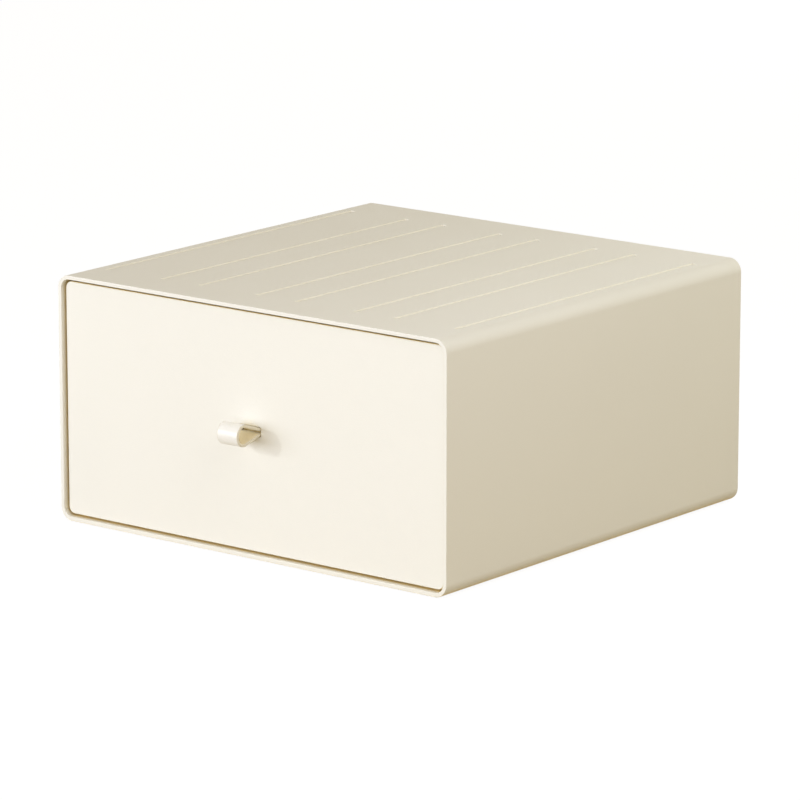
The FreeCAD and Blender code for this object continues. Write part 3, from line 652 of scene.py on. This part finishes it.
class DRAWERBOX_OT_sleeve(bpy.types.Operator):
    """Make the casing: a wrap-round moulding with grooves in its top and stacking ribs underneath"""
    bl_idname = "drawer_box.sleeve"
    bl_label = "Sleeve"

    def execute(self, context):
        sizes = context.scene.drawer_sleeve
        low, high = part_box("case_sleeve")
        floor = low.z + sizes.rib_height
        outer = (low.x, high.x, floor, high.z)
        shape = bmesh.new()
        section = self.wall_section(sizes, low.y, high.y)
        skin(shape, [self.ring(outer, sizes, inset, y) for inset, y in section], closed=True)
        sleeve = to_object("sleeve", shape)
        self.hold_fittings(sleeve, sizes, low, high, floor)
        self.repeat_grooves(sleeve, sizes, low, high)
        smooth(sleeve)
        finish_piece(sleeve, sleeve_abs(), CASE, "case_plastic", "case_sleeve")
        return {"FINISHED"}

    @staticmethod
    def ring(outer, sizes, inset, y):
        """The casing's outline, drawn in by an inset, at one depth."""
        left, right, bottom, top = outer
        loop = rounded_loop(left + inset, right - inset, bottom + inset, top - inset,
                            sizes.corner_radius - inset)
        return [(x, y, z) for x, z in loop]

    @staticmethod
    def wall_section(sizes, front, back):
        """The section of the wall as pairs of inset and depth: rim, inner face, rebate, back edge."""
        rim, lip, wall = sizes.rim_round, sizes.back_round, sizes.wall
        thin = wall - sizes.rebate
        points = arc((rim, front + rim), rim, 180, 270, SMALL_STEPS)
        points += arc((wall - rim, front + rim), rim, 270, 360, SMALL_STEPS)
        points += [(wall, back - sizes.rebate_depth), (thin, back - sizes.rebate_depth)]
        points += arc((thin - lip, back - lip), lip, 0, 90, SMALL_STEPS)
        points += arc((lip, back - lip), lip, 90, 180, SMALL_STEPS)
        return points

    @staticmethod
    def hold_fittings(sleeve, sizes, low, high, floor):
        """Adds the drawer stops, the beds of the runners and the dimples for the rear panel."""
        ceiling, inner_floor = high.z - sizes.wall, floor + sizes.wall
        stops = bmesh.new()
        middle = high.x - sizes.wall - sizes.stop_inset
        front = low.y + sizes.stop_setback
        for x in (-middle, middle):
            block(stops, (x - sizes.stop_width / 2, front, ceiling - sizes.stop_drop),
                  (x + sizes.stop_width / 2, front + sizes.stop_length, ceiling + OVERRUN),
                  sizes.stop_round)
        carve(sleeve, to_object("stop_tool", stops), "UNION")
        beds = bmesh.new()
        for node in ("left_runner", "right_runner"):
            bed_low, bed_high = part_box(node)
            block(beds, bed_low, (bed_high.x, bed_high.y, inner_floor + OVERRUN))
        back = high.y - sizes.dimple_setback
        for x in (-sizes.dimple_spacing / 2, sizes.dimple_spacing / 2):
            for bottom, top in ((inner_floor - sizes.dimple_depth, inner_floor + OVERRUN),
                                (ceiling - OVERRUN, ceiling + sizes.dimple_depth)):
                block(beds, (x - sizes.dimple_width / 2, back - sizes.dimple_length / 2, bottom),
                      (x + sizes.dimple_width / 2, back + sizes.dimple_length / 2, top))
        carve(sleeve, to_object("bed_tool", beds), "DIFFERENCE")

    @staticmethod
    def repeat_grooves(sleeve, sizes, low, high):
        """Cuts the grooves in pairs along the bands, and joins the ribs below them."""
        half, corner = sizes.groove_width / 2, sizes.groove_corner
        front, back = low.y + sizes.groove_front, high.y - sizes.groove_back
        lip = sizes.groove_lip
        section = [(lip, OVERRUN), (lip, OFF_PLANE)]
        section += arc((lip, -lip), lip, 90, 180, SMALL_STEPS)[1:]
        section += arc((-lip, lip - sizes.groove_depth), lip, 360, 270, SMALL_STEPS)
        groove = bar("groove_tool", half, front, back, corner, section)
        gap = sizes.rib_clearance
        round_off = sizes.rib_round
        section = [(0, sizes.rib_height + OVERRUN)]
        section += arc((-round_off, round_off), round_off, 360, 270, SMALL_STEPS)
        rib = bar("rib_tool", half - gap, front + gap, back - gap, corner, section)
        rows = {
            "Groups": sizes.bands,
            "Group step": (sizes.band_spacing, 0, 0),
            "Members": 2,
            "Member step": (sizes.band_width, 0, 0),
            "Material": sleeve_abs(),
        }
        grow(sleeve, rows_tree("cut_in_rows", "DIFFERENCE"),
             {**rows, "Tool": groove, "Middle": (0, 0, high.z)})
        grow(sleeve, rows_tree("join_in_rows", "UNION"),
             {**rows, "Tool": rib, "Middle": (0, 0, low.z)})
        discard(groove, rib)


def bar(name, half, front, back, corner, section):
    """A tool shaped like a long bar with rounded corners; its section is pairs of spread and height."""
    shape = bmesh.new()
    loops = []
    for spread, height in section:
        loop = rounded_loop(-half - spread, half + spread, front - spread, back + spread, corner + spread)
        loops.append([(x, y, height) for x, y in loop])
    skin(shape, loops)
    return to_object(name, shape)


class DRAWERBOX_OT_rear(bpy.types.Operator):
    """Make the rear panel that snaps into the back of the sleeve"""
    bl_idname = "drawer_box.rear"
    bl_label = "Rear panel"

    def execute(self, context):
        moulded_copy("back_panel", "rear_panel", context.scene.drawer_edges.back, sleeve_abs(), CASE,
                     "case_plastic")
        return {"FINISHED"}


class DRAWERBOX_OT_runners(bpy.types.Operator):
    """Make the two guide strips that carry the drawer"""
    bl_idname = "drawer_box.runners"
    bl_label = "Runners"

    def execute(self, context):
        for side in ("left", "right"):
            moulded_copy(f"{side}_runner", f"{side}_guide_strip", context.scene.drawer_edges.runner,
                         runner_acetal(), CASE, "runner_plastic")
        return {"FINISHED"}


class DRAWERBOX_OT_tray(bpy.types.Operator):
    """Make the open tray behind the drawer front"""
    bl_idname = "drawer_box.tray"
    bl_label = "Tray"

    def execute(self, context):
        moulded_copy("drawer_tray", "tray", context.scene.drawer_edges.tray, tray_polypropylene(), DRAWER,
                     "tray_plastic")
        return {"FINISHED"}


class DRAWERBOX_OT_front(bpy.types.Operator):
    """Make the drawer front with its stiffening lip, bosses and strap slot"""
    bl_idname = "drawer_box.front"
    bl_label = "Drawer front"

    def execute(self, context):
        moulded_copy("front_panel", "drawer_front", context.scene.drawer_edges.front, front_abs(), DRAWER,
                     "front_plastic")
        return {"FINISHED"}


class DRAWERBOX_OT_strap(bpy.types.Operator):
    """Make the leather pull: one strip that loops out of the slot and is clamped behind it"""
    bl_idname = "drawer_box.strap"
    bl_label = "Strap"

    def execute(self, context):
        sizes = context.scene.drawer_strap
        finishes = context.scene.drawer_finishes
        shape = bmesh.new()
        bends = shape.verts.layers.float.new("bend")
        verts = []
        for along, up, bend in self.route(sizes):
            vert = shape.verts.new((along, up, 0))
            vert[bends] = bend
            verts.append(vert)
        for start, end in zip(verts, verts[1:]):
            shape.edges.new((start, end))
        strap = to_object("strap", shape)
        grow(strap, strip_tree(), {
            "Width": sizes.width,
            "Thickness": sizes.thickness,
            "Edge round": sizes.edge_round,
            "Lining": sizes.lining,
            "Steps": CORNER_STEPS,
            "Skin material": coated_leather("leather_skin", finishes.leather, grain=0.7 * MM,
                                            roughness=(0.3, 0.4), sheen=0.15),
            "Lining material": coated_leather("leather_lining", finishes.lining, grain=0.5 * MM,
                                              roughness=(0.6, 0.7), sheen=0.3),
            "Edge material": coated_leather("leather_edge", finishes.edge_paint, grain=1.2 * MM,
                                            roughness=(0.4, 0.5), sheen=0.0),
        })
        # The route is drawn flat, as depth and height; this turns its width to lie across the box
        strap.data.transform(Matrix(((0, 0, 1, 0), (1, 0, 0, 0), (0, 1, 0, 0), (0, 0, 0, 1))))
        smooth(strap)
        finish_piece(strap, None, DRAWER, "strap_leather", "pull_strap")
        return {"FINISHED"}

    @staticmethod
    def route(sizes):
        """The strap's centre line as depth, height and bend radius, from its upper end to its lower."""
        low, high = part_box("pull_strap")
        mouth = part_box("front_panel")[0].y
        half = sizes.thickness / 2
        middle = (low.z + high.z) / 2
        behind = high.y - half
        upper = middle + sizes.neck / 2 - half
        lower = middle - sizes.neck / 2 + half
        radius = sizes.nose_radius - half
        nose = Vector((low.y + sizes.nose_radius, middle + sizes.nose_lift))
        tip = nose.x - radius
        top = crossing(Vector((mouth, upper)), nose, radius, tip, 1)
        bottom = crossing(Vector((mouth, lower)), nose, radius, tip, -1)
        return [(behind, high.z, 0), (behind, upper, sizes.tab_bend), (mouth, upper, sizes.mouth_bend),
                (tip, top, radius), (tip, bottom, radius),
                (mouth, lower, sizes.mouth_bend), (behind, lower, sizes.tab_bend), (behind, low.z, 0)]


def crossing(start, centre, radius, tip, side):
    """The height at which a line from a point, touching a circle above or below, reaches the circle's tip."""
    away = centre - start
    reach = math.atan2(away.y, -away.x)
    slope = reach + side * math.asin(radius / away.length)
    return start.y + (start.x - tip) * math.tan(slope)


class DRAWERBOX_OT_clamp(bpy.types.Operator):
    """Make the plate that clamps the strap's ends behind the front"""
    bl_idname = "drawer_box.clamp"
    bl_label = "Clamp plate"

    def execute(self, context):
        moulded_copy("strap_retainer", "clamp_plate", context.scene.drawer_edges.clamp, tray_polypropylene(),
                     DRAWER, "tray_plastic")
        return {"FINISHED"}


class DRAWERBOX_OT_screws(bpy.types.Operator):
    """Make the screws: four that hold the front to the tray, and two in the clamp plate"""
    bl_idname = "drawer_box.screws"
    bl_label = "Screws"

    def execute(self, context):
        sizes = context.scene.drawer_screws
        steel = plated_metal("plated_steel", context.scene.drawer_finishes.steel)
        tree = rows_tree("place_in_rows")
        kinds = (
            ("panel_screws", "front_screws", 2,
             sizes.front_head_radius, sizes.front_head_height, sizes.front_shank_radius),
            ("retainer_screws", "clamp_screws", 1,
             sizes.clamp_head_radius, sizes.clamp_head_height, sizes.clamp_shank_radius),
        )
        for node, name, rows, head_radius, head_height, shank_radius in kinds:
            low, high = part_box(node)
            tool = self.screw(sizes, high.y - low.y, head_radius, head_height, shank_radius)
            screws = to_object(name, bmesh.new())
            grow(screws, tree, {
                "Tool": tool,
                "Groups": 2,
                "Group step": (high.x - low.x - 2 * head_radius, 0, 0),
                "Members": rows,
                "Member step": (0, 0, high.z - low.z - 2 * head_radius),
                "Middle": (0, low.y, (low.z + high.z) / 2),
                "Material": steel,
            })
            discard(tool)
            smooth(screws)
            finish_piece(screws, steel, DRAWER, "screw_steel", node)
        return {"FINISHED"}

    @staticmethod
    def screw(sizes, reach, head_radius, head_height, shank_radius):
        """One screw along +Y from its tip at the origin, with a crowned head and a tapered cross recess."""
        crown = head_height * sizes.crown_share
        seat = reach - head_height
        section = [(shank_radius * sizes.tip_share, 0), (shank_radius, shank_radius), (shank_radius, seat),
                   (head_radius, seat)]
        # The crown rises from the head's rim to its middle as a quarter of an ellipse
        section += [(head_radius * across, reach - crown + crown * up)
                    for across, up in arc((0, 0), 1, 0, 90, ROUND_STEPS // 4)[:-1]]
        shape = bmesh.new()
        turns = [math.tau * at / ROUND_STEPS for at in range(ROUND_STEPS)]
        skin(shape, [[(radius * math.cos(turn), y, radius * math.sin(turn)) for turn in turns]
                     for radius, y in section])
        screw = to_object("screw", shape)
        cross = bmesh.new()
        arm, half = sizes.drive_arm, sizes.drive_wall / 2
        corners = [(arm, -half), (arm, half), (half, half), (half, arm), (-half, arm), (-half, half),
                   (-arm, half), (-arm, -half), (-half, -half), (-half, -arm), (half, -arm), (half, -half)]
        levels = [(OVERRUN, 1), (-OFF_PLANE, 1), (-sizes.drive_depth, sizes.drive_taper)]
        skin(cross, [[(x * spread, reach + level, z * spread) for x, z in corners]
                     for level, spread in levels])
        carve(screw, to_object("drive_tool", cross), "DIFFERENCE")
        return screw


class DRAWERBOX_OT_stage(bpy.types.Operator):
    """Set the floor, the camera and the lights"""
    bl_idname = "drawer_box.stage"
    bl_label = "Studio"

    def execute(self, context):
        studio = context.scene.drawer_studio
        self.floor(studio)
        self.surroundings(context, studio)
        context.scene.camera = self.camera(studio)
        for name, direction, distance, width, height, code, watts in LAMPS:
            data = bpy.data.lights.new(name, "AREA")
            data.shape = "RECTANGLE"
            data.size, data.size_y = width, height
            data.color = srgb(code)
            data.energy = watts
            aimed(studio, data, direction, distance)
        context.scene.view_settings.view_transform = "Standard"
        return {"FINISHED"}

    @staticmethod
    def floor(studio):
        """A floor that glows where it is seen, to be as pale as the room, and keeps a faint shadow."""
        shape = bmesh.new()
        half = studio.floor_width / 2
        corners = [(-half, -half, 0), (half, -half, 0), (half, half, 0), (-half, half, 0)]
        shape.faces.new([shape.verts.new(corner) for corner in corners])
        floor = to_object("studio_floor", shape)
        material, tree = new_material("studio_paper")
        light = add(tree, "ShaderNodeEmission", {"Color": rgba(WHITE), "Strength": studio.glow})
        faint = add(tree, "ShaderNodeBsdfDiffuse", {"Color": toned(WHITE, studio.shadow)})
        shown = add(tree, "ShaderNodeAddShader", enumerate([light.outputs[0], faint.outputs[0]]))
        paper = add(tree, "ShaderNodeBsdfDiffuse", {"Color": rgba(studio.paper)})
        final = add(tree, "ShaderNodeMixShader", enumerate([seen(tree), paper.outputs[0], shown.outputs[0]]))
        add(tree, "ShaderNodeOutputMaterial", {"Surface": final.outputs[0]})
        floor.data.materials.append(material)

    @staticmethod
    def surroundings(context, studio):
        """A room that is white where it is seen, and lights the box with a warm, even tone."""
        world = bpy.data.worlds.new("room")
        world.use_nodes = True
        tree = world.node_tree
        tree.nodes.clear()
        room = add(tree, "ShaderNodeBackground", {"Color": rgba(studio.ambient)})
        white = add(tree, "ShaderNodeBackground", {"Color": rgba(WHITE)})
        final = add(tree, "ShaderNodeMixShader", enumerate([seen(tree), room.outputs[0], white.outputs[0]]))
        add(tree, "ShaderNodeOutputWorld", {"Surface": final.outputs[0]})
        context.scene.world = world

    @staticmethod
    def camera(studio):
        """The camera, at the photograph's view."""
        flat = math.cos(studio.elevation)
        back = (math.sin(studio.azimuth) * flat, -math.cos(studio.azimuth) * flat, math.sin(studio.elevation))
        data = bpy.data.cameras.new("camera")
        data.lens = studio.lens
        data.sensor_width = studio.sensor
        return aimed(studio, data, back, studio.distance)


def aimed(studio, data, direction, distance):
    """Puts a camera or a lamp at a distance in a direction from the middle of the box, and turns it there."""
    away = Vector(direction).normalized()
    holder = bpy.data.objects.new(data.name, data)
    holder.location = Vector(studio.aim) + away * distance
    holder.rotation_euler = (-away).to_track_quat("-Z", "Y").to_euler()
    bpy.context.scene.collection.objects.link(holder)
    return holder


GROUPS = {
    "drawer_sleeve": SleeveSizes,
    "drawer_edges": EdgeSizes,
    "drawer_strap": StrapSizes,
    "drawer_screws": ScrewSizes,
    "drawer_finishes": Finishes,
    "drawer_studio": Studio,
}
STEPS = (DRAWERBOX_OT_stage, DRAWERBOX_OT_sleeve, DRAWERBOX_OT_rear, DRAWERBOX_OT_runners, DRAWERBOX_OT_tray,
         DRAWERBOX_OT_front, DRAWERBOX_OT_strap, DRAWERBOX_OT_clamp, DRAWERBOX_OT_screws)


class DRAWERBOX_PT_main(bpy.types.Panel):
    """The drawer box's pieces and sizes"""
    bl_idname = "DRAWERBOX_PT_main"
    bl_label = "Drawer box"
    bl_space_type = "VIEW_3D"
    bl_region_type = "UI"
    bl_category = "Drawer box"

    def draw(self, context):
        for step in STEPS:
            self.layout.operator(step.bl_idname)
        for name, group in GROUPS.items():
            box = self.layout.box()
            box.label(text=group.__doc__)
            for prop in group.__annotations__:
                box.prop(getattr(context.scene, name), prop)


def register():
    """Registers the sizes, the operators and the panel."""
    for group in (*GROUPS.values(), *STEPS, DRAWERBOX_PT_main):
        bpy.utils.register_class(group)
    for name, group in GROUPS.items():
        setattr(bpy.types.Scene, name, PointerProperty(type=group))


def unregister():
    """Takes the panel, the operators and the sizes away again."""
    for name in GROUPS:
        delattr(bpy.types.Scene, name)
    for group in (DRAWERBOX_PT_main, *reversed(STEPS), *reversed(GROUPS.values())):
        bpy.utils.unregister_class(group)


def main():
    """Makes the drawer box piece by piece."""
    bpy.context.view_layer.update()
    register()
    for step in STEPS:
        category, name = step.bl_idname.split(".")
        getattr(getattr(bpy.ops, category), name)()


if __name__ == "__main__":
    main()
